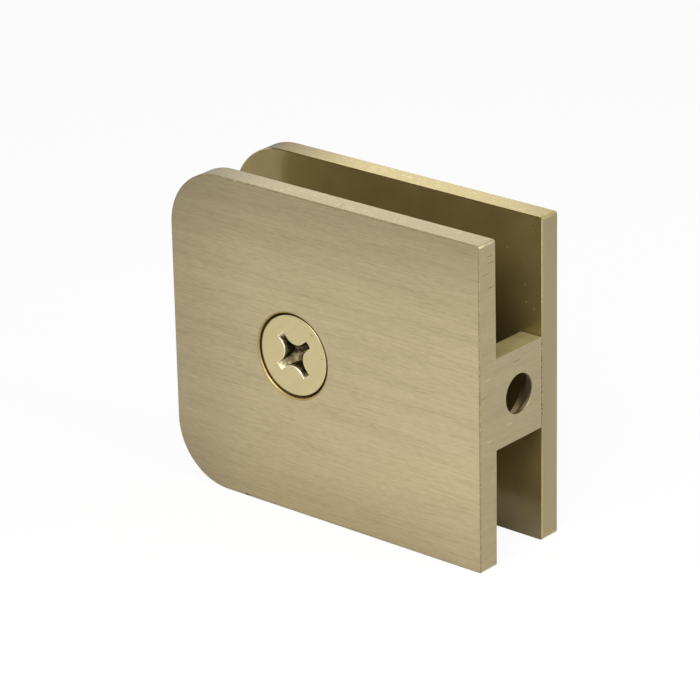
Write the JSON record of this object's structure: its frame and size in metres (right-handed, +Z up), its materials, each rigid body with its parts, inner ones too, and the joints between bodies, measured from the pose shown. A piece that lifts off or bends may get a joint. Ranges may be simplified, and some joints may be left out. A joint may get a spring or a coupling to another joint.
{
  "type": "glass panel clamp",
  "caption": "Wall-mount U-clamp for a fixed glass panel with a hole: two plates with rounded outer ends, a web with a wall screw hole, and a countersunk clamp screw.",
  "frame": {"origin": "centre of the wall screw's hole, on the wall face", "axes": "+X into the wall, +Y to the rear plate, -Y to the side that shows the clamp screw, +Z up the plates"},
  "size_m": [0.058, 0.018, 0.05],
  "materials": {
    "body_brass": "brushed, satin lacquered",
    "plate_brass": "brushed, satin lacquered",
    "screw_brass": "satin",
    "pin_steel": "ground"
  },
  "bodies": {
    "front_body": {"front_body": "body_brass", "locating_pin_upper": "pin_steel", "locating_pin_lower": "pin_steel"},
    "rear_plate": {"rear_plate": "plate_brass"},
    "clamp_screw": {"clamp_screw": "screw_brass"}
  },
  "joints": [
    {"name": "clamp_screw_turn", "type": "hinge", "parent": "front_body", "child": "clamp_screw", "pos_m": [-0.0348, 0, 0], "axis": [0, -1, 0], "range_deg": [0, 2880]},
    {"name": "rear_plate_slide", "type": "slide", "parent": "front_body", "child": "rear_plate", "axis": [0, 1, 0], "range_m": [0, 0.008]}
  ],
  "couplings": [
    {"joint": "clamp_screw_turn", "follows": "rear_plate_slide", "rad_per_m": 6283.2}
  ]
}
